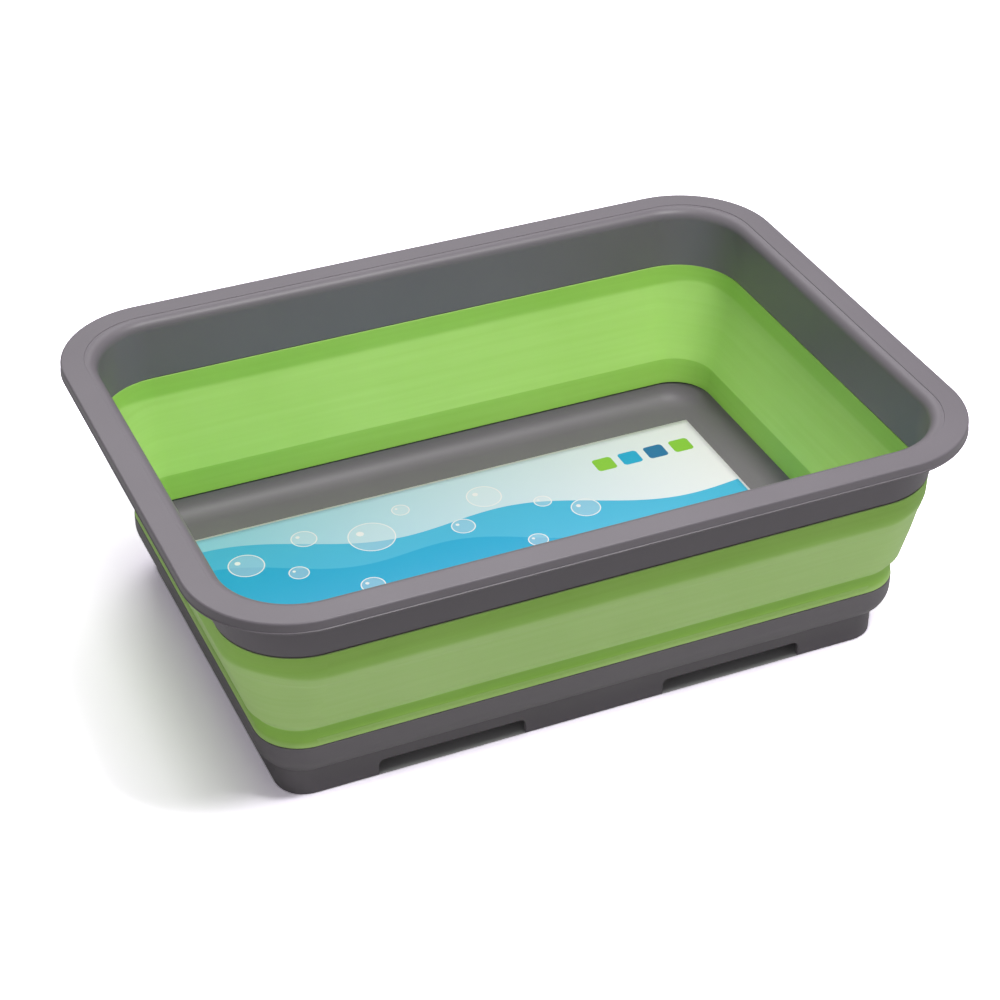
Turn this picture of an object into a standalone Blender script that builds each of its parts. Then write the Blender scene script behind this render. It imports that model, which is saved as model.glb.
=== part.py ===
"""A rectangular wash basin that folds flat.

A hard rim frame and a hard base tray are joined by a soft rubber wall. The wall has an upright
upper band, a sloping panel and an upright lower band. When the rim is pushed down, the panel
turns inside out between the two bands.

Every piece but the label is one cross-section carried round the same rounded rectangle. A point
of a cross-section is (inset, height): the inset is measured inwards from the outer edge of the
rim, the height upwards from the surface that the basin stands on. Lengths are in metres, +X is
along the basin, +Z is up, and the origin is under the middle of the basin.
"""

import math

import bmesh
import bpy
from mathutils import Matrix, Vector

# Overall size
RIM_LENGTH = 0.380
RIM_WIDTH = 0.278
BASIN_HEIGHT = 0.1245
RIM_CORNER_RADIUS = 0.052

# Hard plastic
PLASTIC_WALL = 0.0024
JOINT_GAP = 0.0003

# Rim frame
BAND_INSET = 0.015
BAND_DEPTH = 0.0310
LIP_DEPTH = 0.0048
LIP_WALL = 0.0020
RIM_EDGE_ROUND = 0.0022
RIM_INNER_ROUND = 0.0055
FLANGE_FILLET = 0.0015

# Tongues that the rubber is moulded round
TONGUE_WALL = 0.0008
TONGUE_LENGTH = 0.0055

# Base tray
TRAY_INSET = 0.0279
TRAY_OUTER_TOP = 0.0341
FLOOR_HEIGHT = 0.0160
FLOOR_ROUND = 0.0120
FOOT_INSET = 0.0360
FOOT_WALL = 0.0024
FOOT_EDGE = 0.0005

# Notches in the foot
NOTCH_LENGTH = 0.070
NOTCH_HEIGHT = 0.0082
NOTCH_ROUND = 0.0030
CUT_OVERRUN = 0.010

# Rubber wall
UPPER_BAND_HEIGHT = 0.0150
LOWER_BAND_HEIGHT = 0.0091
FOLD_WALL = 0.0014
PANEL_RINGS = 6
RING_OVERLAP = 0.0022
RING_CHAMFER = 0.0006

# Label, which leaves a strip of the flat floor bare at its ends and at its sides
LABEL_END_MARGIN = 0.0047
LABEL_SIDE_MARGIN = 0.0137
LABEL_THICKNESS = 0.0003

# Mesh fineness
CORNER_STEPS = 10
ROUND_STEPS = 4
NOTCH_ROUND_STEPS = 3
SMALL_ROUND_STEPS = 2
FLOOR_ROUND_STEPS = 5
SHARP_DEGREES = 30
WELD = 0.00001

# Colours as linear red, green and blue, and how rough each surface is
GREY_PLASTIC = (0.265, 0.245, 0.262)
GREEN_RUBBER = (0.270, 0.550, 0.130)
PRINTED_PAPER = (0.300, 0.620, 0.800)
PLASTIC_ROUGHNESS = 0.42
RUBBER_ROUGHNESS = 0.55
PAPER_ROUGHNESS = 0.50

# Sizes that follow from the ones above
BAND_INNER = BAND_INSET + PLASTIC_WALL
BAND_BOTTOM = BASIN_HEIGHT - BAND_DEPTH
UPPER_FOLD = BAND_BOTTOM - UPPER_BAND_HEIGHT
TRAY_INNER = TRAY_INSET + PLASTIC_WALL
LOWER_FOLD = TRAY_OUTER_TOP + LOWER_BAND_HEIGHT
FLOOR_ROUND_INSET = TRAY_INNER + FLOOR_ROUND
TRAY_INNER_TOP = FLOOR_HEIGHT + FLOOR_ROUND
CORNER_X = RIM_LENGTH / 2 - RIM_CORNER_RADIUS
CORNER_Y = RIM_WIDTH / 2 - RIM_CORNER_RADIUS


def clear_scene():
    """Remove whatever objects the scene starts with."""
    for obj in list(bpy.data.objects):
        bpy.data.objects.remove(obj, do_unlink=True)


def new_collection(name):
    """Make a collection under the scene."""
    collection = bpy.data.collections.new(name)
    bpy.context.scene.collection.children.link(collection)
    return collection


def new_material(name, color, roughness):
    """A plain opaque surface of one colour."""
    material = bpy.data.materials.new(name)
    material.use_nodes = True
    shader = material.node_tree.nodes["Principled BSDF"]
    shader.inputs["Base Color"].default_value = (*color, 1.0)
    shader.inputs["Roughness"].default_value = roughness
    shader.inputs["Metallic"].default_value = 0.0
    material.diffuse_color = (*color, 1.0)
    return material


def arc(inset, height, radius, start, end, steps):
    """Points on a round of a cross-section, from one angle to another in degrees.

    Angle 0 points inwards, towards a larger inset, and angle 90 points up.
    """
    points = []
    for step in range(steps + 1):
        angle = math.radians(start + (end - start) * step / steps)
        points.append((inset + radius * math.cos(angle), height + radius * math.sin(angle)))
    return points


def sweep(profile, closed):
    """Carry a cross-section round the rounded rectangle and return the bmesh.

    The section starts on the front side, runs straight along each side, and turns about the
    upright axis of each corner.
    """
    bm = bmesh.new()
    front = -RIM_WIDTH / 2
    verts = [bm.verts.new((-CORNER_X, front + inset, height)) for inset, height in profile]
    edges = [bm.edges.new(pair) for pair in zip(verts, verts[1:])]
    if closed:
        edges.append(bm.edges.new((verts[-1], verts[0])))
    corners = ((CORNER_X, -CORNER_Y), (CORNER_X, CORNER_Y), (-CORNER_X, CORNER_Y), (-CORNER_X, -CORNER_Y))
    here = Vector((-CORNER_X, -CORNER_Y, 0))
    for x, y in corners:
        centre = Vector((x, y, 0))
        side = bmesh.ops.extrude_edge_only(bm, edges=edges)["geom"]
        moved = [item for item in side if isinstance(item, bmesh.types.BMVert)]
        bmesh.ops.translate(bm, verts=moved, vec=centre - here)
        turned = bmesh.ops.spin(
            bm,
            geom=moved + [item for item in side if isinstance(item, bmesh.types.BMEdge)],
            cent=centre,
            axis=(0, 0, 1),
            angle=math.radians(90),
            steps=CORNER_STEPS,
        )["geom_last"]
        edges = [item for item in turned if isinstance(item, bmesh.types.BMEdge)]
        here = centre
    bmesh.ops.remove_doubles(bm, verts=bm.verts, dist=WELD)
    return bm


def swept_object(name, profile, material, collection, closed=True, base_height=0.0):
    """Make an object from a cross-section, with its origin on the basin's upright axis.

    An open section leaves a rounded rectangle free above and one below, which are filled.
    """
    bm = sweep(profile, closed)
    if not closed:
        free = [edge for edge in bm.edges if edge.is_boundary]
        bmesh.ops.holes_fill(bm, edges=free, sides=0)
    bmesh.ops.translate(bm, verts=bm.verts, vec=(0, 0, -base_height))
    bmesh.ops.recalc_face_normals(bm, faces=bm.faces)
    mesh = bpy.data.meshes.new(name)
    bm.to_mesh(mesh)
    bm.free()
    mesh.shade_smooth()
    mesh.set_sharp_from_angle(angle=math.radians(SHARP_DEGREES))
    mesh.materials.append(material)
    obj = bpy.data.objects.new(name, mesh)
    obj.location = (0, 0, base_height)
    collection.objects.link(obj)
    return obj


def tongue_sides(inset):
    """The two faces of the tongue in the middle of a hard wall that starts at this inset."""
    outer = inset + (PLASTIC_WALL - TONGUE_WALL) / 2
    return outer, outer + TONGUE_WALL


def rim_frame(material, collection):
    """The flange with its turned-down lip, and the upright band with the tongue below it."""
    under = BASIN_HEIGHT - PLASTIC_WALL
    lip_bottom = BASIN_HEIGHT - LIP_DEPTH
    tongue_outer, tongue_inner = tongue_sides(BAND_INSET)
    tongue_tip = BAND_BOTTOM - TONGUE_LENGTH
    edge_height = BASIN_HEIGHT - RIM_EDGE_ROUND
    inner_height = BASIN_HEIGHT - RIM_INNER_ROUND
    inner_inset = BAND_INNER - RIM_INNER_ROUND
    profile = [(0, lip_bottom)]
    profile += arc(RIM_EDGE_ROUND, edge_height, RIM_EDGE_ROUND, 180, 90, ROUND_STEPS)
    profile += arc(inner_inset, inner_height, RIM_INNER_ROUND, 90, 0, ROUND_STEPS)
    profile += [
        (BAND_INNER, BAND_BOTTOM),
        (tongue_inner, BAND_BOTTOM),
        (tongue_inner, tongue_tip),
        (tongue_outer, tongue_tip),
        (tongue_outer, BAND_BOTTOM),
        (BAND_INSET, BAND_BOTTOM),
    ]
    fillet = (BAND_INSET - FLANGE_FILLET, under - FLANGE_FILLET, FLANGE_FILLET)
    profile += arc(*fillet, 0, 90, SMALL_ROUND_STEPS)
    profile += [(LIP_WALL, under), (LIP_WALL, lip_bottom)]
    return swept_object("rim_frame", profile, material, collection)


def wall_upper_band(material, collection):
    """The rubber below the rim frame, with a groove that takes the tongue.

    Its outer face slopes in below the groove, because the rubber is thin where the wall folds.
    """
    top = BAND_BOTTOM - JOINT_GAP
    tongue_outer, tongue_inner = tongue_sides(BAND_INSET)
    groove_end = BAND_BOTTOM - TONGUE_LENGTH - JOINT_GAP
    profile = [
        (BAND_INNER - FOLD_WALL, UPPER_FOLD),
        (BAND_INSET, groove_end),
        (BAND_INSET, top),
        (tongue_outer - JOINT_GAP, top),
        (tongue_outer - JOINT_GAP, groove_end),
        (tongue_inner + JOINT_GAP, groove_end),
        (tongue_inner + JOINT_GAP, top),
        (BAND_INNER, top),
        (BAND_INNER, UPPER_FOLD),
    ]
    return swept_object("wall_upper_band", profile, material, collection)


def wall_lower_band(material, collection):
    """The rubber above the base tray, with a groove that takes the tray's tongue."""
    outer_bottom = TRAY_OUTER_TOP + JOINT_GAP
    inner_bottom = TRAY_INNER_TOP + JOINT_GAP
    tongue_outer, tongue_inner = tongue_sides(TRAY_INSET)
    groove_end = TRAY_OUTER_TOP + TONGUE_LENGTH + JOINT_GAP
    profile = [
        (TRAY_INSET, outer_bottom),
        (TRAY_INSET, LOWER_FOLD),
        (TRAY_INNER, LOWER_FOLD),
        (TRAY_INNER, inner_bottom),
        (tongue_inner + JOINT_GAP, inner_bottom),
        (tongue_inner + JOINT_GAP, groove_end),
        (tongue_outer - JOINT_GAP, groove_end),
        (tongue_outer - JOINT_GAP, outer_bottom),
    ]
    return swept_object("wall_lower_band", profile, material, collection)


def wall_panel_rings(material, collection):
    """The sloping panel, cut into upright rings that pass each other as the wall turns over.

    The rings share the space between the two bands, outermost first. Each is a little taller
    than its share of the panel, so that it overlaps the next one and the wall stays closed.
    """
    pitch_across = (TRAY_INSET - BAND_INNER - JOINT_GAP) / PANEL_RINGS
    pitch_down = (UPPER_FOLD - LOWER_FOLD) / PANEL_RINGS
    half_height = (pitch_down + RING_OVERLAP) / 2
    rings = []
    for index in range(PANEL_RINGS):
        outer = BAND_INNER + JOINT_GAP + index * pitch_across
        inner = outer + pitch_across - JOINT_GAP
        middle = UPPER_FOLD - (index + 0.5) * pitch_down
        top = middle + half_height
        bottom = middle - half_height
        profile = [
            (outer, bottom + RING_CHAMFER),
            (outer, top - RING_CHAMFER),
            (outer + RING_CHAMFER, top),
            (inner - RING_CHAMFER, top),
            (inner, top - RING_CHAMFER),
            (inner, bottom + RING_CHAMFER),
            (inner - RING_CHAMFER, bottom),
            (outer + RING_CHAMFER, bottom),
        ]
        name = f"wall_panel_ring_{index + 1}"
        rings.append(swept_object(name, profile, material, collection, base_height=middle))
    return rings


def tray_profile():
    """The section of the tray, from the floor's top, over the rim and the foot, to its underside."""
    tongue_outer, tongue_inner = tongue_sides(TRAY_INSET)
    tongue_tip = TRAY_OUTER_TOP + TONGUE_LENGTH
    outer_round = FLOOR_ROUND + PLASTIC_WALL
    foot_angle = math.degrees(math.acos((FLOOR_ROUND_INSET - FOOT_INSET) / outer_round))
    foot_inner = FOOT_INSET + FOOT_WALL
    inner_angle = math.degrees(math.acos((FLOOR_ROUND_INSET - foot_inner) / outer_round))
    centre = (FLOOR_ROUND_INSET, TRAY_INNER_TOP)
    profile = arc(*centre, FLOOR_ROUND, 270, 180, FLOOR_ROUND_STEPS)
    profile += [
        (tongue_inner, TRAY_INNER_TOP),
        (tongue_inner, tongue_tip),
        (tongue_outer, tongue_tip),
        (tongue_outer, TRAY_OUTER_TOP),
        (TRAY_INSET, TRAY_OUTER_TOP),
    ]
    profile += arc(*centre, outer_round, 180, 180 + foot_angle, FLOOR_ROUND_STEPS)
    profile += [
        (FOOT_INSET, FOOT_EDGE),
        (FOOT_INSET + FOOT_EDGE, 0),
        (foot_inner - FOOT_EDGE, 0),
        (foot_inner, FOOT_EDGE),
    ]
    profile += arc(*centre, outer_round, 180 + inner_angle, 270, SMALL_ROUND_STEPS)
    return profile


def box(name, size, centre, collection):
    """A box of a given size, with its scale written into the mesh."""
    bpy.ops.mesh.primitive_cube_add(size=1, location=centre)
    obj = bpy.context.object
    obj.name = name
    obj.data.transform(Matrix.Diagonal((*size, 1)))
    for owner in list(obj.users_collection):
        owner.objects.unlink(obj)
    collection.objects.link(obj)
    return obj


def notch_cutter(name, size, centre, target, collection):
    """A round-cornered bar that cuts its notch out of both sides of the foot."""
    cutter = box(name, size, centre, collection)
    bevel = cutter.modifiers.new("round_corners", "BEVEL")
    bevel.width = NOTCH_ROUND
    bevel.segments = NOTCH_ROUND_STEPS
    cutter.hide_render = True
    cutter.display_type = "WIRE"
    cut = target.modifiers.new(name, "BOOLEAN")
    cut.operation = "DIFFERENCE"
    cut.solver = "EXACT"
    cut.object = cutter
    return cutter


def base_tray(material, collection, cutters):
    """The floor with its hollow edge, the low rim, and the foot with its notches."""
    tray = swept_object("base_tray", tray_profile(), material, collection, closed=False)
    foot_width = RIM_WIDTH - 2 * FOOT_INSET
    size = (NOTCH_LENGTH, foot_width + 2 * CUT_OVERRUN, NOTCH_HEIGHT + CUT_OVERRUN)
    middle = (NOTCH_HEIGHT - CUT_OVERRUN) / 2
    for side, name in ((-1, "left_notches"), (1, "right_notches")):
        notch_cutter(name, size, (side * CORNER_X / 2, 0, middle), tray, cutters)
    return tray


def floor_label(material, collection):
    """The printed sheet that lies on the floor."""
    length = RIM_LENGTH - 2 * (FLOOR_ROUND_INSET + LABEL_END_MARGIN)
    width = RIM_WIDTH - 2 * (FLOOR_ROUND_INSET + LABEL_SIDE_MARGIN)
    size = (length, width, LABEL_THICKNESS)
    height = FLOOR_HEIGHT + JOINT_GAP + LABEL_THICKNESS / 2
    label = box("floor_label", size, (0, 0, height), collection)
    label.data.materials.append(material)
    return label


def main():
    """Build the basin."""
    clear_scene()
    pieces = new_collection("collapsible_wash_basin")
    cutters = new_collection("cutters")
    plastic = new_material("grey_plastic", GREY_PLASTIC, PLASTIC_ROUGHNESS)
    rubber = new_material("green_rubber", GREEN_RUBBER, RUBBER_ROUGHNESS)
    paper = new_material("printed_paper", PRINTED_PAPER, PAPER_ROUGHNESS)
    rim_frame(plastic, pieces)
    wall_upper_band(rubber, pieces)
    wall_panel_rings(rubber, pieces)
    wall_lower_band(rubber, pieces)
    base_tray(plastic, pieces, cutters)
    floor_label(paper, pieces)


main()
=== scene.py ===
"""The looks of a folding wash basin: a hard grey rim and tray, a soft green wall and a printed sheet.

The three mouldings are sections swept round a rounded rectangle. A corner of a section is
(inset, height, round, ease): the inset is measured inwards from the rim's outer edge, the height
upwards from the table, round is the radius of that corner, and ease is how much wider the turn
at the basin's four corners is than the concentric one. Lengths are in metres.
"""

import math

import bmesh
import bpy
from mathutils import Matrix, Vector


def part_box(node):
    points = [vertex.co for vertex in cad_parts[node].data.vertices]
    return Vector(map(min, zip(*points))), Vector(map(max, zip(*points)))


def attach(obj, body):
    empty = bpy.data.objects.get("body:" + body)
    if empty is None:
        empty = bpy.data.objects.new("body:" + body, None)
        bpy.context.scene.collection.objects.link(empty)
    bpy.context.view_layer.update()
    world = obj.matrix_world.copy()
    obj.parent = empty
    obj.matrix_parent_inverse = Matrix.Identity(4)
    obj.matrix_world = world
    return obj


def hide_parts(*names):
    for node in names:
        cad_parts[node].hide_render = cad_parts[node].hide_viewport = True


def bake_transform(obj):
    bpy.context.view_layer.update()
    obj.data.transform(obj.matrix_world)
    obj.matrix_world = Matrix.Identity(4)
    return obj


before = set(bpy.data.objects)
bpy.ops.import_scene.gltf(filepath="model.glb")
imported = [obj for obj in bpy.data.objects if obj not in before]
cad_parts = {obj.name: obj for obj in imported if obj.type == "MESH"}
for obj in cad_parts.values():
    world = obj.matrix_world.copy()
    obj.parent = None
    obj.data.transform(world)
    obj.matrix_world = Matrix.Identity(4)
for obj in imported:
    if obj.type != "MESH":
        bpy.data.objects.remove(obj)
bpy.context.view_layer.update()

MM = 0.001
WHITE = (1.0, 1.0, 1.0, 1.0)

# Places that the frame gives
HALF_LENGTH, HALF_WIDTH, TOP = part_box("rim_frame")[1]
STRIP_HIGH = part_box("wall_lower_band")[1]
SHEET_LOW, SHEET_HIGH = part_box("floor_label")
STRIP_INSET = HALF_LENGTH - STRIP_HIGH.x

# Rounded rectangle
RIM_CORNER_RADIUS = 52.0 * MM
CORNER_X = HALF_LENGTH - RIM_CORNER_RADIUS
CORNER_Y = HALF_WIDTH - RIM_CORNER_RADIUS
LONG_SIDE_STEPS = 30
SHORT_SIDE_STEPS = 20
CORNER_STEPS = 22

# How finely a section is drawn, and which bends count as straight or as sharp
DEGREES_PER_STEP = 9.0
LONGEST_STEP = 2.4 * MM
STRAIGHT_BELOW = math.radians(1.0)
SHARP_ABOVE = math.radians(35.0)
ROUND_PROFILE = 0.5

# Joints between the hard and the soft mouldings
SEAM = 0.3 * MM
TONGUE_WALL = 0.8 * MM
TONGUE_LENGTH = 4.0 * MM
SEAM_ROUND = 0.4 * MM

# Rim moulding
LIP_DEPTH = 6.0 * MM
LIP_WALL = 2.0 * MM
LIP_EDGE = 0.3 * MM
LIP_EASE = -2.7 * MM
SPLIT_LINE_HEIGHT = 1.1 * MM
SPLIT_LINE_PROUD = 0.32 * MM
SPLIT_LINE_HALF = 0.26 * MM
TOP_ROUND = 1.0 * MM
STEP_INSET = 11.8 * MM
STEP_DROP = 0.35 * MM
STEP_ROUND = 0.12 * MM
STEP_EASE = -3.4 * MM
INNER_ROUND = 5.3 * MM
RIM_INNER = 17.3 * MM
RIM_DRAFT = 0.25 * MM
BAND_OUTER = 14.5 * MM
FLANGE_WALL = 2.4 * MM
FLANGE_FILLET = 1.6 * MM
BAND_OUTER_BOTTOM = 95.5 * MM
BAND_INNER_BOTTOM = 91.5 * MM

# Soft wall, outer side
WALL_OUTER_TOP = 94.3 * MM
WALL_TOP_SET_BACK = 0.3 * MM
WALL_BEND_INSET = 15.15 * MM
WALL_BEND_HEIGHT = 81.5 * MM
WALL_BEND_ROUND = 9.0 * MM
HINGE_INSET = 17.25 * MM
HINGE_HEIGHT = 75.2 * MM
HINGE_WIDTH = 1.6 * MM
HINGE_DEPTH = 0.1 * MM
NOSE_INSET = 24.9 * MM
NOSE_HEIGHT = 48.8 * MM
NOSE_ROUND = 2.0 * MM
NOSE_EASE = -2.3 * MM
RECESS_INSET = 28.4 * MM
RECESS_HEIGHT = 44.2 * MM
RECESS_ROUND = 2.6 * MM
COVE_INSET = 28.5 * MM
COVE_HEIGHT = 36.3 * MM
COVE_ROUND = 7.0 * MM
STRIP_EASE = -1.7 * MM

# Soft wall, inner side, where the upper fold runs higher round the basin's corners
INNER_STRIP_INSET = 30.3 * MM
INNER_STRIP_BOTTOM = 26.4 * MM
INNER_STRIP_BOTTOM_INSET = 31.3 * MM
INNER_LOWER_BEND = 41.0 * MM
INNER_LOWER_ROUND = 2.0 * MM
INNER_UPPER_BEND_INSET = 17.5 * MM
INNER_UPPER_BEND = 80.1 * MM
INNER_UPPER_ROUND = 7.0 * MM
CORNER_LIFT = 2.6 * MM
CORNER_LIFT_REACH = 16.0 * MM

# The wall is painted paler, a painted sheen, where its section slopes at least this much, and its inner side
# has this share of it
PANEL_SLOPE = 0.26
INNER_SHEEN_SHARE = 0.45

# Tray moulding
TRAY_OUTER_TOP = 33.5 * MM
TRAY_WALL = 2.4 * MM
TRAY_INNER_TOP = 25.6 * MM
FLOOR_TOP = SHEET_LOW.z - SEAM
HOLLOW_ROUND = 11.7 * MM
FLOOR_RING_INSET = 47.0 * MM
TRAY_EASE = -1.8 * MM
FOOT_INSET = HALF_LENGTH - 154.0 * MM
FOOT_LEDGE = 0.9 * MM
FOOT_LEDGE_ROUND = 0.25 * MM
FOOT_DRAFT = 0.2 * MM
FOOT_WALL = 2.4 * MM
FOOT_EDGE_ROUND = 0.6 * MM
FOOT_EASE = -2.0 * MM

# Notches in the foot, two in each long side
NOTCH_LENGTH = 73.0 * MM
NOTCH_MIDDLE = 72.0 * MM
NOTCH_HEIGHT = 8.2 * MM
NOTCH_ROUND = 3.0 * MM
NOTCH_ROUND_STEPS = 6
NOTCH_EDGE = 0.35 * MM
NOTCH_EDGE_STEPS = 3
NOTCH_EDGE_BEND = math.radians(60.0)
NOTCH_FACE_DEPTH = FOOT_DRAFT + FOOT_EDGE_ROUND / 4
CUT_OVERRUN = 10.0 * MM

# Polypropylene. Spark-eroded grain is about 0.1 mm; it is drawn at 0.7 mm so that it shows.
PLASTIC_TONES = ("#736D74", "#7A747B")
PLASTIC_CLOUD = 45.0 * MM
PLASTIC_GRAIN = 0.7 * MM
RIM_TOP_DULLER = 0.0
TRAY_TOP_DULLER = 0.08

# Rubber: a darker and a lighter tone of the bands, then of the panel, which is painted paler as a painted
# sheen. Its grain is as fine as the plastic's, and is drawn at 0.8 mm so that it shows.
RUBBER_TONES = (("#A1DA55", "#AFE565"), ("#C4ED8D", "#D1F59F"))
RUBBER_CLOUD = 60.0 * MM
RUBBER_GRAIN = 0.8 * MM
STREAK_LENGTH = 110.0 * MM
STREAK_HEIGHT = 3.5 * MM
GRAIN_DEPTH = 0.05 * MM

# Printed sheet
SHEET_CELL = 4.0 * MM
SHEET_BORDER = 1.2 * MM
SHEET_CORNER = 0.1 * MM
SHEET_CLOUD = 6.0 * MM
SHEET_RIPPLE = 30.0 * MM
SHEET_RIPPLE_DEPTH = 0.3 * MM
SHEET_WHITE = "#F0EBF2"
SHEET_PALE_BLUE = "#8CCBE6"
SHEET_MID_BLUE = "#45B4DE"
SHEET_CYAN = "#12A5D6"
SHEET_DEEP_BLUE = "#1B6FA8"
SHEET_GREEN = "#8CC63F"
# Waves: level, swing, length and shift of the crest line, its slope, and the ink below it
SHEET_WAVES = (
    (44 * MM, 7 * MM, 150 * MM, 0.4, -0.16, SHEET_MID_BLUE),
    (22 * MM, 6 * MM, 120 * MM, 2.1, -0.20, SHEET_CYAN),
    (-4 * MM, 5 * MM, 170 * MM, 3.6, -0.10, SHEET_DEEP_BLUE),
    (-12 * MM, 5 * MM, 170 * MM, 3.6, -0.10, SHEET_WHITE),
)
# Soap bubbles: centre and radius
SHEET_BUBBLES = (
    (-118 * MM, 52 * MM, 9 * MM),
    (-96 * MM, 36 * MM, 5 * MM),
    (-84 * MM, 62 * MM, 6.5 * MM),
    (-52 * MM, 50 * MM, 12 * MM),
    (-30 * MM, 66 * MM, 4.5 * MM),
    (-6 * MM, 40 * MM, 6 * MM),
    (14 * MM, 60 * MM, 9 * MM),
    (40 * MM, 44 * MM, 4.5 * MM),
    (58 * MM, 30 * MM, 7.5 * MM),
    (-66 * MM, 12 * MM, 6 * MM),
    (24 * MM, 14 * MM, 5 * MM),
)
BUBBLE_VEIL = 0.25
BUBBLE_LINE = 0.3 * MM
# The glint's place off the bubble's centre and its radius, as shares of the bubble's radius
GLINT_PLACE = 1 / 2.6
GLINT_SIZE = 1 / 6
# Tiles: centre and ink
SHEET_TILES = (
    (84 * MM, 62 * MM, SHEET_GREEN),
    (99 * MM, 62 * MM, SHEET_CYAN),
    (114 * MM, 62 * MM, SHEET_DEEP_BLUE),
    (129 * MM, 62 * MM, SHEET_GREEN),
)
TILE_HALF = 5.5 * MM
TILE_ROUND = 2.0 * MM

# White table: half its side, the grey that lights the basin from below, and the look that the camera
# gets, with a tint that takes the wall's green out of the shadow. Inside the foot's outline the camera
# sees only the grey, a painted shade under the basin. The camera also sees a lift, which grows from
# nothing at the foot outwards, a painted shadow round the foot, and from there to full white between
# two distances from the middle. Inside the foot's outline the table also glows a little for rays other
# than the camera's, a painted glow that lights the hollow of the foot.
TABLE_HALF = 4.0
TABLE_BOUNCE = "#D0D0D0"
TABLE_LOOK = (2.0, 1.9, 2.1, 1.0)
TABLE_LIFT = 0.23
LIFTED_BY = 45.0 * MM
WHITE_FROM = 0.35
WHITE_BY = 0.9
HOLLOW_LIGHT = 0.05

# White room: its light, and what mirrors of it show
ROOM_LIGHT = 0.19
ROOM_SHEEN = 0.3

# Softboxes: azimuth, elevation, distance, side and power in watts
SOFTBOXES = {
    "key_softbox": (31.5, 65.0, 1.4, 0.3, 13.0),
    "left_softbox": (-80.0, 35.0, 1.6, 1.0, 1.6),
    "back_softbox": (165.0, 50.0, 1.6, 1.0, 8.0),
    "overhead_softbox": (0.0, 88.0, 1.8, 0.9, 3.5),
}

# Camera, from the photograph's vanishing lines
CAMERA_TARGET = Vector((-6.0 * MM, -6.0 * MM, 61.9 * MM))
CAMERA_DISTANCE = 1214.0 * MM
CAMERA_AZIMUTH = -23.76
CAMERA_ELEVATION = 34.75
CAMERA_LENS = 90.4
CAMERA_SENSOR = 36.0


def linear(hex_color):
    """The linear colour of an sRGB hex value, with an alpha of 1."""
    channels = [int(hex_color[start:start + 2], 16) / 255 for start in (1, 3, 5)]
    return tuple(c / 12.92 if c <= 0.04045 else ((c + 0.055) / 1.055) ** 2.4 for c in channels) + (1.0,)


def node(tree, kind, values=None, **settings):
    """Add a node. values go to its inputs by name or number, and settings to its properties.

    A value is a constant, an output of another node, or another node for its first output.
    """
    made = tree.nodes.new(kind)
    for name, value in settings.items():
        setattr(made, name, value)
    for name, value in (values or {}).items():
        if isinstance(value, bpy.types.Node):
            value = value.outputs[0]
        if isinstance(value, bpy.types.NodeSocket):
            tree.links.new(value, made.inputs[name])
        else:
            made.inputs[name].default_value = value
    return made


def new_material(name):
    """A material with no nodes, and its tree."""
    material = bpy.data.materials.new(name)
    material.use_nodes = True
    material.node_tree.nodes.clear()
    return material, material.node_tree


def moulded_polypropylene(name, top_duller):
    """Injection-moulded polypropylene: an even mauve grey, satin, with a fine grain.

    top_duller is how much rougher the faces that look up are, from a coarser grain in the mould.
    """
    material, tree = new_material(name)
    place = node(tree, "ShaderNodeTexCoord").outputs["Object"]
    cloud = node(tree, "ShaderNodeTexNoise", {"Vector": place, "Scale": 1 / PLASTIC_CLOUD, "Detail": 2.0})
    grain = node(tree, "ShaderNodeTexNoise", {"Vector": place, "Scale": 1 / PLASTIC_GRAIN, "Detail": 3.0})
    tones = {"Factor": cloud, "A": linear(PLASTIC_TONES[0]), "B": linear(PLASTIC_TONES[1])}
    color = node(tree, "ShaderNodeMix", tones, data_type="RGBA").outputs[2]
    rough = node(tree, "ShaderNodeMapRange", {"Value": grain, "To Min": 0.4, "To Max": 0.5})
    normal = node(tree, "ShaderNodeNewGeometry").outputs["Normal"]
    facing = node(tree, "ShaderNodeSeparateXYZ", {"Vector": normal}).outputs["Z"]
    up = node(tree, "ShaderNodeMapRange", {"Value": facing, "To Max": top_duller})
    dull = node(tree, "ShaderNodeMath", {0: rough, 1: up}, operation="ADD")
    bump = node(tree, "ShaderNodeBump", {"Height": grain, "Strength": 0.25, "Distance": GRAIN_DEPTH})
    looks = {"Base Color": color, "Roughness": dull, "Normal": bump, "IOR": 1.49}
    shader = node(tree, "ShaderNodeBsdfPrincipled", looks)
    node(tree, "ShaderNodeOutputMaterial", {"Surface": shader})
    return material


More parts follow.
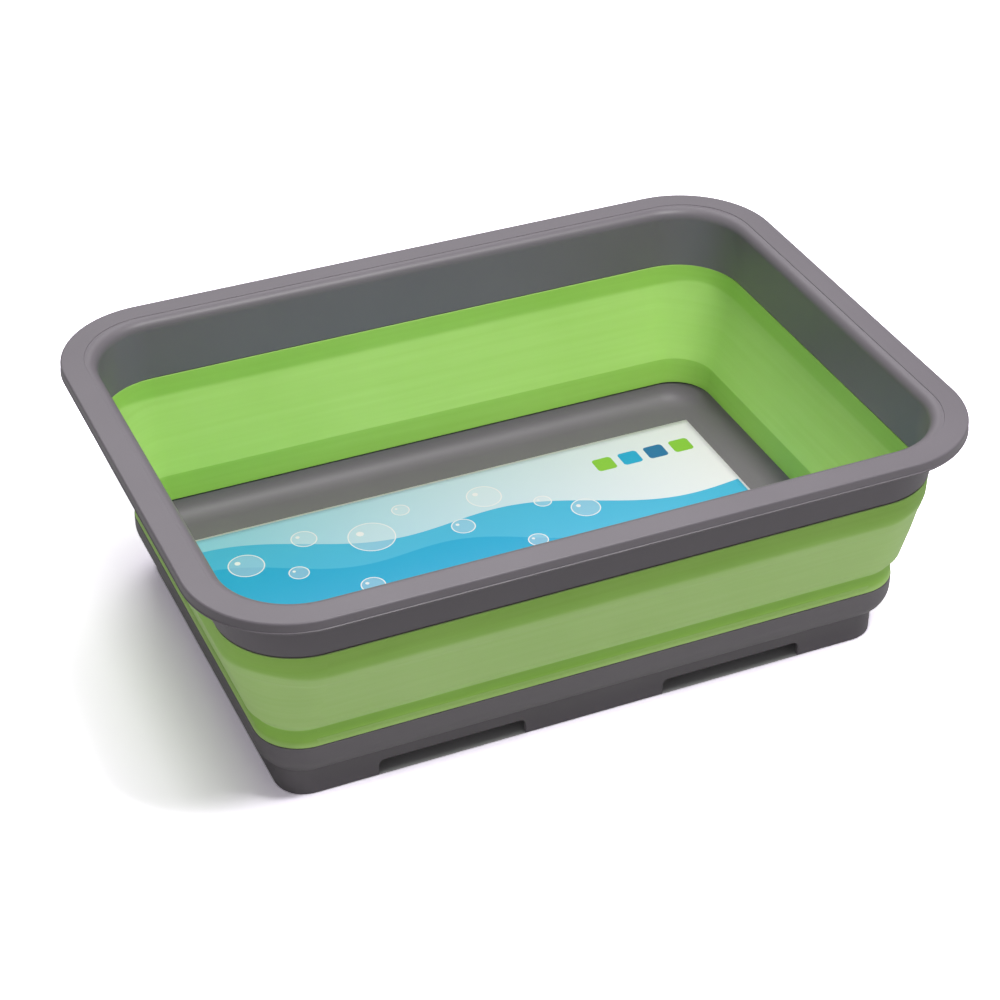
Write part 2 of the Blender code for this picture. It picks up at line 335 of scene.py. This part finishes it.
def moulded_rubber():
    """Matt moulded thermoplastic rubber: light passes a little way in, and faint streaks follow the flow."""
    material, tree = new_material("moulded_rubber")
    coordinates = node(tree, "ShaderNodeTexCoord")
    place = coordinates.outputs["Object"]
    cloud = node(tree, "ShaderNodeTexNoise", {"Vector": place, "Scale": 1 / RUBBER_CLOUD, "Detail": 2.0})
    grain = node(tree, "ShaderNodeTexNoise", {"Vector": place, "Scale": 1 / RUBBER_GRAIN, "Detail": 3.0})
    # The wall's own map counts metres, along the wall and up it
    drawn_out = {"Vector": coordinates.outputs["UV"], "Scale": (1 / STREAK_LENGTH, 1 / STREAK_HEIGHT, 1.0)}
    flow = node(tree, "ShaderNodeMapping", drawn_out)
    streak = node(tree, "ShaderNodeTexNoise", {"Vector": flow, "Scale": 1.0, "Detail": 2.0})
    both = node(tree, "ShaderNodeMath", {0: cloud, 1: streak}, operation="ADD")
    mixed = node(tree, "ShaderNodeMapRange", {"Value": both, "From Min": 0.5, "From Max": 1.5})
    shades = []
    for dark, light in RUBBER_TONES:
        tones = {"Factor": mixed, "A": linear(dark), "B": linear(light)}
        shades.append(node(tree, "ShaderNodeMix", tones, data_type="RGBA").outputs[2])
    # Painted sheen: the sloping panel is painted paler than the bands, as a reflection of the lamps and the
    # bright table would make it, more so outside
    painted_sheen_amount = node(tree, "ShaderNodeAttribute", attribute_name="painted_sheen").outputs["Fac"]
    blended = {"Factor": painted_sheen_amount, "A": shades[0], "B": shades[1]}
    color = node(tree, "ShaderNodeMix", blended, data_type="RGBA").outputs[2]
    height = node(tree, "ShaderNodeMath", {0: streak, 1: grain}, operation="ADD")
    bump = node(tree, "ShaderNodeBump", {"Height": height, "Strength": 0.2, "Distance": GRAIN_DEPTH})
    shader = node(
        tree,
        "ShaderNodeBsdfPrincipled",
        {
            "Base Color": color,
            "Roughness": 0.6,
            "IOR": 1.5,
            "Specular IOR Level": 0.35,
            "Subsurface Weight": 0.15,
            "Subsurface Radius": (0.8, 1.0, 0.4),
            "Subsurface Scale": 1.5 * MM,
            "Sheen Weight": 0.06,
            "Sheen Roughness": 0.5,
            "Normal": bump,
        },
    )
    node(tree, "ShaderNodeOutputMaterial", {"Surface": shader})
    return material


def printed_paper():
    """Coated paper with a generic print: waves from deep to pale blue, soap bubbles and small tiles."""
    material, tree = new_material("printed_paper")
    place = node(tree, "ShaderNodeTexCoord").outputs["Object"]
    flat = node(tree, "ShaderNodeVectorMath", {0: place, 1: (1, 1, 0)}, operation="MULTIPLY")
    color = linear(SHEET_PALE_BLUE)
    for amount, ink in wave_inks(tree, flat) + bubble_inks(tree, flat) + tile_inks(tree, flat):
        laid_over = {"Factor": amount, "A": color, "B": linear(ink)}
        color = node(tree, "ShaderNodeMix", laid_over, data_type="RGBA").outputs[2]
    # Ink soaks in unevenly, in clouds of a few millimetres
    cloud = node(tree, "ShaderNodeTexNoise", {"Vector": place, "Scale": 1 / SHEET_CLOUD, "Detail": 3.0})
    gloss = node(tree, "ShaderNodeMapRange", {"Value": cloud, "To Min": 0.28, "To Max": 0.4})
    ripple = node(tree, "ShaderNodeTexNoise", {"Vector": place, "Scale": 1 / SHEET_RIPPLE})
    bump = node(tree, "ShaderNodeBump", {"Height": ripple, "Strength": 0.3, "Distance": SHEET_RIPPLE_DEPTH})
    looks = {"Base Color": color, "Roughness": gloss, "IOR": 1.5, "Normal": bump}
    shader = node(tree, "ShaderNodeBsdfPrincipled", looks)
    node(tree, "ShaderNodeOutputMaterial", {"Surface": shader})
    return material


def wave_inks(tree, flat):
    """The ground, which gets whiter to the right, and the waves on it, each as (amount, ink)."""
    split = node(tree, "ShaderNodeSeparateXYZ", {"Vector": flat})
    across, along = split.outputs["X"], split.outputs["Y"]
    ends = {"Value": across, "From Min": SHEET_LOW.x, "From Max": SHEET_HIGH.x}
    inks = [(node(tree, "ShaderNodeMapRange", ends), SHEET_WHITE)]
    for level, swing, length, shift, slope, ink in SHEET_WAVES:
        turns = {0: across, 1: math.tau / length, 2: shift}
        angle = node(tree, "ShaderNodeMath", turns, operation="MULTIPLY_ADD")
        crest = node(tree, "ShaderNodeMath", {0: angle}, operation="SINE")
        edge = node(tree, "ShaderNodeMath", {0: crest, 1: swing, 2: level}, operation="MULTIPLY_ADD")
        tilted = node(tree, "ShaderNodeMath", {0: across, 1: slope, 2: edge}, operation="MULTIPLY_ADD")
        inks.append((node(tree, "ShaderNodeMath", {0: along, 1: tilted}, operation="LESS_THAN"), ink))
    return inks


def bubble_inks(tree, flat):
    """The soap bubbles as (amount, ink): for each a thin veil, a fine skin and a glint."""
    inks = []
    for x, y, radius in SHEET_BUBBLES:
        middle = {0: flat, 1: (x, y, 0)}
        away = node(tree, "ShaderNodeVectorMath", middle, operation="DISTANCE").outputs["Value"]
        inside = node(tree, "ShaderNodeMath", {0: away, 1: radius}, operation="LESS_THAN")
        veil = node(tree, "ShaderNodeMath", {0: inside, 1: BUBBLE_VEIL}, operation="MULTIPLY")
        skin = node(tree, "ShaderNodeMath", {0: away, 1: radius, 2: BUBBLE_LINE}, operation="COMPARE")
        spot = {0: flat, 1: (x - radius * GLINT_PLACE, y + radius * GLINT_PLACE, 0)}
        off_spot = node(tree, "ShaderNodeVectorMath", spot, operation="DISTANCE").outputs["Value"]
        glint = node(tree, "ShaderNodeMath", {0: off_spot, 1: radius * GLINT_SIZE}, operation="LESS_THAN")
        inks += [(veil, SHEET_WHITE), (skin, SHEET_WHITE), (glint, SHEET_WHITE)]
    return inks


def tile_inks(tree, flat):
    """The small tiles and the sheet's bare border, each as (amount, ink)."""
    inks = []
    for x, y, ink in SHEET_TILES:
        away = off_rounded_rectangle(tree, flat, (x, y), (TILE_HALF, TILE_HALF), TILE_ROUND)
        inks.append((node(tree, "ShaderNodeMath", {0: away, 1: 0.0}, operation="LESS_THAN"), ink))
    middle = (SHEET_LOW + SHEET_HIGH) / 2
    half = (SHEET_HIGH - SHEET_LOW) / 2
    printed = (half.x - SHEET_BORDER, half.y - SHEET_BORDER)
    away = off_rounded_rectangle(tree, flat, (middle.x, middle.y), printed, SHEET_CORNER)
    inks.append((node(tree, "ShaderNodeMath", {0: away, 1: 0.0}, operation="GREATER_THAN"), SHEET_WHITE))
    return inks


def off_rounded_rectangle(tree, flat, centre, half, radius):
    """How far a point lies outside a rounded rectangle; less than zero inside it."""
    inner = (half[0] - radius, half[1] - radius, 0)
    moved = node(tree, "ShaderNodeVectorMath", {0: flat, 1: (*centre, 0)}, operation="SUBTRACT")
    folded = node(tree, "ShaderNodeVectorMath", {0: moved}, operation="ABSOLUTE")
    beyond = node(tree, "ShaderNodeVectorMath", {0: folded, 1: inner}, operation="SUBTRACT")
    kept = node(tree, "ShaderNodeVectorMath", {0: beyond, 1: (0, 0, 0)}, operation="MAXIMUM")
    length = node(tree, "ShaderNodeVectorMath", {0: kept}, operation="LENGTH").outputs["Value"]
    return node(tree, "ShaderNodeMath", {0: length, 1: radius}, operation="SUBTRACT")


def stations():
    """Where a section stands round the rounded rectangle.

    Each is (shares of the corner centre's place, outward direction, how near a corner's middle).
    """
    found = []
    turns = (
        ((-1, -1), (1, -1), -90, LONG_SIDE_STEPS),
        ((1, -1), (1, 1), 0, SHORT_SIDE_STEPS),
        ((1, 1), (-1, 1), 90, LONG_SIDE_STEPS),
        ((-1, 1), (-1, -1), 180, SHORT_SIDE_STEPS),
    )
    for begin, end, facing, steps in turns:
        out = math.radians(facing)
        for step in range(steps):
            part = step / steps
            at = tuple(a + (b - a) * part for a, b in zip(begin, end))
            found.append((at, (math.cos(out), math.sin(out)), 0.0))
        for step in range(CORNER_STEPS):
            turn = step / CORNER_STEPS
            angle = out + math.radians(90 * turn)
            found.append((end, (math.cos(angle), math.sin(angle)), math.sin(math.pi * turn) ** 2))
    return found


def rounded(corners, closed=True):
    """Points of a section whose corners are rounded. Each is (inset, height, ease)."""
    points = []
    count = len(corners)
    for index, (inset, height, radius, ease) in enumerate(corners):
        here = Vector((inset, height))
        before = Vector(corners[index - 1][:2]) - here
        after = Vector(corners[(index + 1) % count][:2]) - here
        is_end = not closed and index in (0, count - 1)
        turn = 0.0 if is_end else math.pi - before.angle(after, math.pi)
        if radius == 0 or turn < STRAIGHT_BELOW:
            points.append((inset, height, ease))
            continue
        first = here + before.normalized() * (radius * math.tan(turn / 2))
        halfway = (before.normalized() + after.normalized()).normalized()
        middle = here + halfway * (radius / math.cos(turn / 2))
        begin = math.atan2(first.y - middle.y, first.x - middle.x)
        sweep = -math.copysign(turn, before.cross(after))
        steps = max(2, math.ceil(math.degrees(turn) / DEGREES_PER_STEP))
        for step in range(steps + 1):
            angle = begin + sweep * step / steps
            points.append((middle.x + radius * math.cos(angle), middle.y + radius * math.sin(angle), ease))
    return points


def divided(points):
    """The same closed section with no stretch longer than the longest step."""
    result = []
    for start, end in zip(points, points[1:] + points[:1]):
        length = math.hypot(end[0] - start[0], end[1] - start[1])
        steps = max(1, math.ceil(length / LONGEST_STEP))
        for step in range(steps):
            part = step / steps
            result.append(tuple(a + (b - a) * part for a, b in zip(start, end)))
    return result


def painted_sheen(points):
    """How much paler each point of a section is painted, a painted sheen: 0 on an upright stretch, 1 on the
    panel's outer side.
    """
    count = len(points)
    found = []
    for index in range(count):
        start = points[index - 2]
        end = points[(index + 2) % count]
        inwards, upwards = abs(end[0] - start[0]), abs(end[1] - start[1])
        share = 1.0 if end[1] > start[1] else INNER_SHEEN_SHARE
        found.append(min(1.0, inwards / max(upwards, inwards) / PANEL_SLOPE) * share if inwards else 0.0)
    return found


def swept(name, points, material, closed=True, lift=None):
    """Sweep a section round the basin. lift(height) raises it at the corners' middles."""
    bm = bmesh.new()
    painted_sheen_amount = bm.verts.layers.float.new("painted_sheen")
    wall_map = bm.loops.layers.uv.new("wall_map")
    # Painted sheen: how much paler each point of the section is painted
    amounts = painted_sheen(points)
    rings = []
    for at, out, near in stations():
        ring = []
        for (inset, height, ease), amount in zip(points, amounts):
            radius = RIM_CORNER_RADIUS - inset + ease
            x = at[0] * (CORNER_X - ease) + out[0] * radius
            y = at[1] * (CORNER_Y - ease) + out[1] * radius
            up = lift(height) * near if lift else 0.0
            vert = bm.verts.new((x, y, height + up))
            vert[painted_sheen_amount] = amount
            ring.append(vert)
        rings.append(ring)
    along = 0.0
    for ring, other in zip(rings, rings[1:] + rings[:1]):
        step = (other[0].co - ring[0].co).length
        up = 0.0
        for low in range(len(points) if closed else len(points) - 1):
            high = (low + 1) % len(points)
            rise = (ring[high].co - ring[low].co).length
            face = bm.faces.new((ring[low], other[low], other[high], ring[high]))
            spots = ((along, up), (along + step, up), (along + step, up + rise), (along, up + rise))
            for loop, spot in zip(face.loops, spots):
                loop[wall_map].uv = spot
            up += rise
        along += step
    if not closed:
        bm.faces.new([ring[0] for ring in rings])
        bm.faces.new([ring[-1] for ring in rings])
    bmesh.ops.recalc_face_normals(bm, faces=bm.faces)
    return finished(name, bm, material)


def finished(name, bm, material):
    """Turn a bmesh into an object."""
    mesh = bpy.data.meshes.new(name)
    bm.to_mesh(mesh)
    bm.free()
    smooth(mesh)
    mesh.materials.append(material)
    obj = bpy.data.objects.new(name, mesh)
    bpy.context.scene.collection.objects.link(obj)
    return obj


def smooth(mesh):
    """Shade a mesh smooth but for its sharp edges."""
    mesh.shade_smooth()
    mesh.set_sharp_from_angle(angle=SHARP_ABOVE)


def even_shading(obj):
    """Keep flat stretches flat in shading beside their rounded edges."""
    weighted = obj.modifiers.new("even_shading", "WEIGHTED_NORMAL")
    weighted.keep_sharp = True


def rim_moulding(material):
    """The flange with its turned-down lip, and the upright band with the tongue below it."""
    lip_bottom = TOP - LIP_DEPTH
    split = lip_bottom + SPLIT_LINE_HEIGHT
    face = SPLIT_LINE_PROUD
    under = TOP - FLANGE_WALL
    tongue = (BAND_OUTER + RIM_INNER - TONGUE_WALL) / 2
    tip = BAND_INNER_BOTTOM - TONGUE_LENGTH
    corners = [
        (face + LIP_EDGE / 2, lip_bottom, LIP_EDGE, LIP_EASE),
        (face, split - SPLIT_LINE_HALF, 0, LIP_EASE),
        (0, split, 0, LIP_EASE),
        (face, split + SPLIT_LINE_HALF, 0, LIP_EASE),
        (face, TOP, TOP_ROUND, LIP_EASE),
        (STEP_INSET, TOP, STEP_ROUND, STEP_EASE),
        (STEP_INSET + STEP_ROUND, TOP - STEP_DROP, STEP_ROUND, STEP_EASE),
        (RIM_INNER, TOP - STEP_DROP, INNER_ROUND, 0),
        (RIM_INNER - RIM_DRAFT, BAND_INNER_BOTTOM, SEAM_ROUND, 0),
        (tongue + TONGUE_WALL, BAND_INNER_BOTTOM, 0, 0),
        (tongue + TONGUE_WALL, tip, 0, 0),
        (tongue, tip, 0, 0),
        (tongue, BAND_OUTER_BOTTOM, 0, 0),
        (BAND_OUTER, BAND_OUTER_BOTTOM, SEAM_ROUND, 0),
        (BAND_OUTER + RIM_DRAFT, under, FLANGE_FILLET, 0),
        (LIP_WALL, under, LIP_EDGE, LIP_EASE),
        (LIP_WALL, lip_bottom, LIP_EDGE, LIP_EASE),
    ]
    rim = swept("rim_moulding", rounded(corners), material)
    even_shading(rim)
    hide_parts("rim_frame")
    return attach(rim, "rim")


def corner_lift(height):
    """How much higher the wall lies at a corner's middle: most at the upper fold, easing to nothing."""
    away = min(1.0, abs(height - INNER_UPPER_BEND) / CORNER_LIFT_REACH)
    return CORNER_LIFT * (1 - away) ** 2 * (1 + 2 * away)


def wall_moulding(material):
    """The soft wall in one piece: upright band, sloping panel with its nose, and upright strip."""
    inner_top = BAND_INNER_BOTTOM - SEAM
    groove = (BAND_OUTER + RIM_INNER - TONGUE_WALL) / 2 - SEAM
    groove_wall = TONGUE_WALL + 2 * SEAM
    groove_end = BAND_INNER_BOTTOM - TONGUE_LENGTH - SEAM
    outer_bottom = TRAY_OUTER_TOP + SEAM
    slot = STRIP_INSET + (TRAY_WALL - TONGUE_WALL) / 2 - SEAM
    slot_end = TRAY_OUTER_TOP + TONGUE_LENGTH + SEAM
    corners = [
        (STRIP_INSET, outer_bottom, SEAM_ROUND, STRIP_EASE),
        (COVE_INSET, COVE_HEIGHT, COVE_ROUND, STRIP_EASE),
        (RECESS_INSET, RECESS_HEIGHT, RECESS_ROUND, STRIP_EASE),
        (NOSE_INSET, NOSE_HEIGHT, NOSE_ROUND, NOSE_EASE),
        (HINGE_INSET, HINGE_HEIGHT, HINGE_WIDTH, 0),
        (HINGE_INSET - HINGE_WIDTH / 4 + HINGE_DEPTH, HINGE_HEIGHT + HINGE_WIDTH / 2, HINGE_WIDTH, 0),
        (HINGE_INSET - HINGE_WIDTH / 2, HINGE_HEIGHT + HINGE_WIDTH, HINGE_WIDTH, 0),
        (WALL_BEND_INSET, WALL_BEND_HEIGHT, WALL_BEND_ROUND, 0),
        (BAND_OUTER + WALL_TOP_SET_BACK, WALL_OUTER_TOP, SEAM_ROUND, 0),
        (groove, WALL_OUTER_TOP, 0, 0),
        (groove, groove_end, 0, 0),
        (groove + groove_wall, groove_end, 0, 0),
        (groove + groove_wall, inner_top, 0, 0),
        (RIM_INNER - RIM_DRAFT, inner_top, SEAM_ROUND, 0),
        (INNER_UPPER_BEND_INSET, INNER_UPPER_BEND, INNER_UPPER_ROUND, 0),
        (INNER_STRIP_INSET, INNER_LOWER_BEND, INNER_LOWER_ROUND, 0),
        (INNER_STRIP_BOTTOM_INSET, INNER_STRIP_BOTTOM, SEAM_ROUND, 0),
        (slot + groove_wall, INNER_STRIP_BOTTOM, 0, 0),
        (slot + groove_wall, slot_end, 0, 0),
        (slot, slot_end, 0, 0),
        (slot, outer_bottom, 0, 0),
    ]
    wall = swept("wall_moulding", divided(rounded(corners)), material, lift=corner_lift)
    rings = sorted(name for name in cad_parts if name.startswith("wall_panel_ring"))
    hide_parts("wall_upper_band", "wall_lower_band", *rings)
    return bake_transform(wall)


def arc(inset, height, radius, start, end, ease):
    """Corners on a round of a section, from one angle to another in degrees; 0 is inwards, 90 is up."""
    steps = math.ceil(abs(end - start) / DEGREES_PER_STEP)
    corners = []
    for step in range(steps + 1):
        angle = math.radians(start + (end - start) * step / steps)
        corners.append((inset + radius * math.cos(angle), height + radius * math.sin(angle), 0, ease))
    return corners


def tray_moulding(material):
    """The floor with its hollow edge, the low rim, and the foot with its notches."""
    tongue = STRIP_INSET + (TRAY_WALL - TONGUE_WALL) / 2
    tip = TRAY_OUTER_TOP + TONGUE_LENGTH
    centre = (STRIP_INSET + TRAY_WALL + HOLLOW_ROUND, FLOOR_TOP + HOLLOW_ROUND)
    outer_round = HOLLOW_ROUND + TRAY_WALL
    foot_inner = FOOT_INSET + FOOT_WALL
    # Degrees from level: up to the inner top, and down to the foot's outer and inner face
    rise = math.degrees(math.asin((centre[1] - TRAY_INNER_TOP) / HOLLOW_ROUND))
    meet = math.degrees(math.acos((centre[0] - FOOT_INSET - FOOT_LEDGE) / outer_round))
    meet_inside = math.degrees(math.acos((centre[0] - foot_inner) / outer_round))
    foot_top = centre[1] - outer_round * math.sin(math.radians(meet))
    corners = [
        (FLOOR_RING_INSET, FLOOR_TOP, 0, 0),
        *arc(*centre, HOLLOW_ROUND, 270, 180 + rise, 0),
        (tongue + TONGUE_WALL, TRAY_INNER_TOP, 0, 0),
        (tongue + TONGUE_WALL, tip, 0, 0),
        (tongue, tip, 0, 0),
        (tongue, TRAY_OUTER_TOP, 0, 0),
        (STRIP_INSET, TRAY_OUTER_TOP, SEAM_ROUND, TRAY_EASE),
        *arc(*centre, outer_round, 180, 180 + meet, TRAY_EASE),
        (FOOT_INSET, foot_top - FOOT_LEDGE_ROUND, FOOT_LEDGE_ROUND, FOOT_EASE),
        (FOOT_INSET + FOOT_DRAFT, 0, FOOT_EDGE_ROUND, FOOT_EASE),
        (foot_inner, 0, FOOT_EDGE_ROUND, FOOT_EASE),
        *arc(*centre, outer_round, 180 + meet_inside, 270, 0),
        (FLOOR_RING_INSET, FLOOR_TOP - TRAY_WALL, 0, 0),
    ]
    tray = swept("tray_moulding", rounded(corners, closed=False), material, closed=False)
    for side in (-1, 1):
        cut_notches(tray, side * NOTCH_MIDDLE)
    ease_notch_edges(tray)
    even_shading(tray)
    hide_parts("base_tray")
    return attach(tray, "base")


def cut_notches(tray, middle):
    """Cut a wide notch through each long side of the foot, at one place along them."""
    size = Vector((NOTCH_LENGTH, 2 * (HALF_WIDTH - FOOT_INSET + CUT_OVERRUN), NOTCH_HEIGHT + CUT_OVERRUN))
    place = Vector((middle, 0, (NOTCH_HEIGHT - CUT_OVERRUN) / 2))
    bm = bmesh.new()
    bmesh.ops.create_cube(bm, size=1)
    bmesh.ops.scale(bm, vec=size, verts=bm.verts)
    bmesh.ops.translate(bm, vec=place, verts=bm.verts)
    across = [edge for edge in bm.edges if edge.verts[0].co.y != edge.verts[1].co.y]
    round_edges(bm, across, NOTCH_ROUND, NOTCH_ROUND_STEPS)
    cutter = finished("notch_cutter", bm, tray.data.materials[0])
    cut = tray.modifiers.new("notches", "BOOLEAN")
    cut.operation = "DIFFERENCE"
    cut.object = cutter
    depsgraph = bpy.context.evaluated_depsgraph_get()
    mesh = bpy.data.meshes.new_from_object(tray.evaluated_get(depsgraph))
    tray.modifiers.clear()
    tray.data = mesh
    bpy.data.objects.remove(cutter)


def round_edges(bm, edges, radius, steps):
    """Round edges of a bmesh."""
    bmesh.ops.bevel(bm, geom=edges, offset=radius, segments=steps, profile=ROUND_PROFILE, affect="EDGES")


def ease_notch_edges(tray):
    """Round the edges where the notches break through the foot's outer face."""
    bm = bmesh.new()
    bm.from_mesh(tray.data)
    face_y = HALF_WIDTH - FOOT_INSET
    edges = []
    for edge in bm.edges:
        ends = [vert.co for vert in edge.verts]
        outside = all(abs(abs(co.y) - face_y) < NOTCH_FACE_DEPTH for co in ends)
        beside = all(abs(abs(co.x) - NOTCH_MIDDLE) < NOTCH_LENGTH / 2 + SEAM for co in ends)
        below = all(co.z < NOTCH_HEIGHT + SEAM for co in ends)
        bent = len(edge.link_faces) == 2 and edge.calc_face_angle(0) > NOTCH_EDGE_BEND
        if outside and beside and below and bent:
            edges.append(edge)
    round_edges(bm, edges, NOTCH_EDGE, NOTCH_EDGE_STEPS)
    bm.to_mesh(tray.data)
    bm.free()
    smooth(tray.data)


def printed_sheet(material):
    """The sheet that lies on the floor."""
    size = SHEET_HIGH - SHEET_LOW
    columns = round(size.x / SHEET_CELL)
    rows = round(size.y / SHEET_CELL)
    bm = bmesh.new()
    for vert in bmesh.ops.create_grid(bm, x_segments=columns, y_segments=rows, size=0.5)["verts"]:
        vert.co.x *= size.x
        vert.co.y *= size.y
        vert.co.z = SHEET_LOW.z
    sheet = finished("printed_sheet", bm, material)
    solid = sheet.modifiers.new("thickness", "SOLIDIFY")
    solid.thickness = size.z
    solid.offset = 1.0
    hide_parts("floor_label")
    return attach(sheet, "base")


def white_floor():
    """A matt white table that the camera sees as white where nothing shades it."""
    material, tree = new_material("white_table")
    path = node(tree, "ShaderNodeLightPath")
    seen_by = {0: path.outputs["Is Camera Ray"], 1: path.outputs["Is Transmission Ray"]}
    seen = node(tree, "ShaderNodeMath", seen_by, operation="MAXIMUM")
    place = node(tree, "ShaderNodeTexCoord").outputs["Object"]
    flat = node(tree, "ShaderNodeVectorMath", {0: place, 1: (1, 1, 0)}, operation="MULTIPLY")
    foot = (HALF_LENGTH - FOOT_INSET, HALF_WIDTH - FOOT_INSET)
    away = off_rounded_rectangle(tree, flat, (0, 0), foot, RIM_CORNER_RADIUS - FOOT_INSET)
    # Painted shade: inside the foot's outline the camera sees the grey that lights the basin, not the white
    # look, and no lift
    outside = node(tree, "ShaderNodeMath", {0: away, 1: 0.0}, operation="GREATER_THAN")
    lit = node(tree, "ShaderNodeMath", {0: seen, 1: outside}, operation="MULTIPLY")
    whites = {"Factor": lit, "A": linear(TABLE_BOUNCE), "B": TABLE_LOOK}
    color = node(tree, "ShaderNodeMix", whites, data_type="RGBA").outputs[2]
    # Painted shadow round the foot: the camera's lift is nothing at the foot and grows to TABLE_LIFT over
    # LIFTED_BY
    near = node(tree, "ShaderNodeMapRange", {"Value": away, "From Max": LIFTED_BY, "To Max": TABLE_LIFT})
    far = node(tree, "ShaderNodeVectorMath", {0: flat}, operation="LENGTH").outputs["Value"]
    reach = {"Value": far, "From Min": WHITE_FROM, "From Max": WHITE_BY, "To Min": near, "To Max": 1.0}
    lift = node(tree, "ShaderNodeMapRange", reach)
    # Painted glow: inside the foot's outline the table glows faintly for rays other than the camera's, which
    # lights the hollow of the foot
    unseen = node(tree, "ShaderNodeMath", {0: 1.0, 1: seen}, operation="SUBTRACT")
    within = node(tree, "ShaderNodeMath", {0: 1.0, 1: outside}, operation="SUBTRACT")
    hollow = node(tree, "ShaderNodeMath", {0: unseen, 1: within}, operation="MULTIPLY")
    faint = node(tree, "ShaderNodeMath", {0: hollow, 1: HOLLOW_LIGHT}, operation="MULTIPLY")
    strength = node(tree, "ShaderNodeMath", {0: lit, 1: lift, 2: faint}, operation="MULTIPLY_ADD")
    diffuse = node(tree, "ShaderNodeBsdfDiffuse", {"Color": color})
    glow = node(tree, "ShaderNodeEmission", {"Color": WHITE, "Strength": strength})
    table = node(tree, "ShaderNodeAddShader", {0: diffuse, 1: glow})
    clear = node(tree, "ShaderNodeBsdfTransparent")
    # From below the table is clear, so that the underside of the basin can be seen
    underneath = node(tree, "ShaderNodeNewGeometry").outputs["Backfacing"]
    shader = node(tree, "ShaderNodeMixShader", {0: underneath, 1: table, 2: clear})
    node(tree, "ShaderNodeOutputMaterial", {"Surface": shader})
    bm = bmesh.new()
    bmesh.ops.create_grid(bm, x_segments=1, y_segments=1, size=TABLE_HALF)
    floor = finished("table_top", bm, material)


def white_world():
    """A white room: plain soft light from everywhere, and pure white behind the object."""
    world = bpy.data.worlds.new("white_room")
    bpy.context.scene.world = world
    world.use_nodes = True
    tree = world.node_tree
    tree.nodes.clear()
    path = node(tree, "ShaderNodeLightPath")
    ends = {"Value": path.outputs["Is Glossy Ray"], "To Min": ROOM_LIGHT, "To Max": ROOM_SHEEN}
    lit = node(tree, "ShaderNodeMapRange", ends)
    strength = node(tree, "ShaderNodeMath", {0: path.outputs["Is Camera Ray"], 1: lit}, operation="MAXIMUM")
    white = node(tree, "ShaderNodeBackground", {"Color": WHITE, "Strength": strength})
    node(tree, "ShaderNodeOutputWorld", {"Surface": white})


def facing_basin(name, data, azimuth, elevation, distance):
    """Add a lamp or a camera that faces the basin. Azimuth 0 is in front, 90 to the right."""
    turn, rise = math.radians(azimuth), math.radians(elevation)
    away = Vector((math.sin(turn) * math.cos(rise), -math.cos(turn) * math.cos(rise), math.sin(rise)))
    obj = bpy.data.objects.new(name, data)
    obj.location = CAMERA_TARGET + away * distance
    obj.rotation_mode = "QUATERNION"
    obj.rotation_quaternion = away.to_track_quat("Z", "Y")
    bpy.context.scene.collection.objects.link(obj)
    return obj


def softbox(name, azimuth, elevation, distance, side, power):
    """A square softbox."""
    light = bpy.data.lights.new(name, "AREA")
    light.shape = "SQUARE"
    light.size = side
    light.energy = power
    facing_basin(name, light, azimuth, elevation, distance)


def camera():
    """The photograph's viewpoint."""
    data = bpy.data.cameras.new("photo_view")
    data.lens = CAMERA_LENS
    data.sensor_width = CAMERA_SENSOR
    view = facing_basin("photo_view", data, CAMERA_AZIMUTH, CAMERA_ELEVATION, CAMERA_DISTANCE)
    bpy.context.scene.camera = view


def main():
    """Dress the frame and set it on a white table."""
    bpy.context.scene.view_settings.view_transform = "Standard"
    rim_moulding(moulded_polypropylene("moulded_polypropylene_rim", RIM_TOP_DULLER))
    tray_moulding(moulded_polypropylene("moulded_polypropylene_tray", TRAY_TOP_DULLER))
    wall_moulding(moulded_rubber())
    printed_sheet(printed_paper())
    white_floor()
    white_world()
    for name, numbers in SOFTBOXES.items():
        softbox(name, *numbers)
    camera()


main()
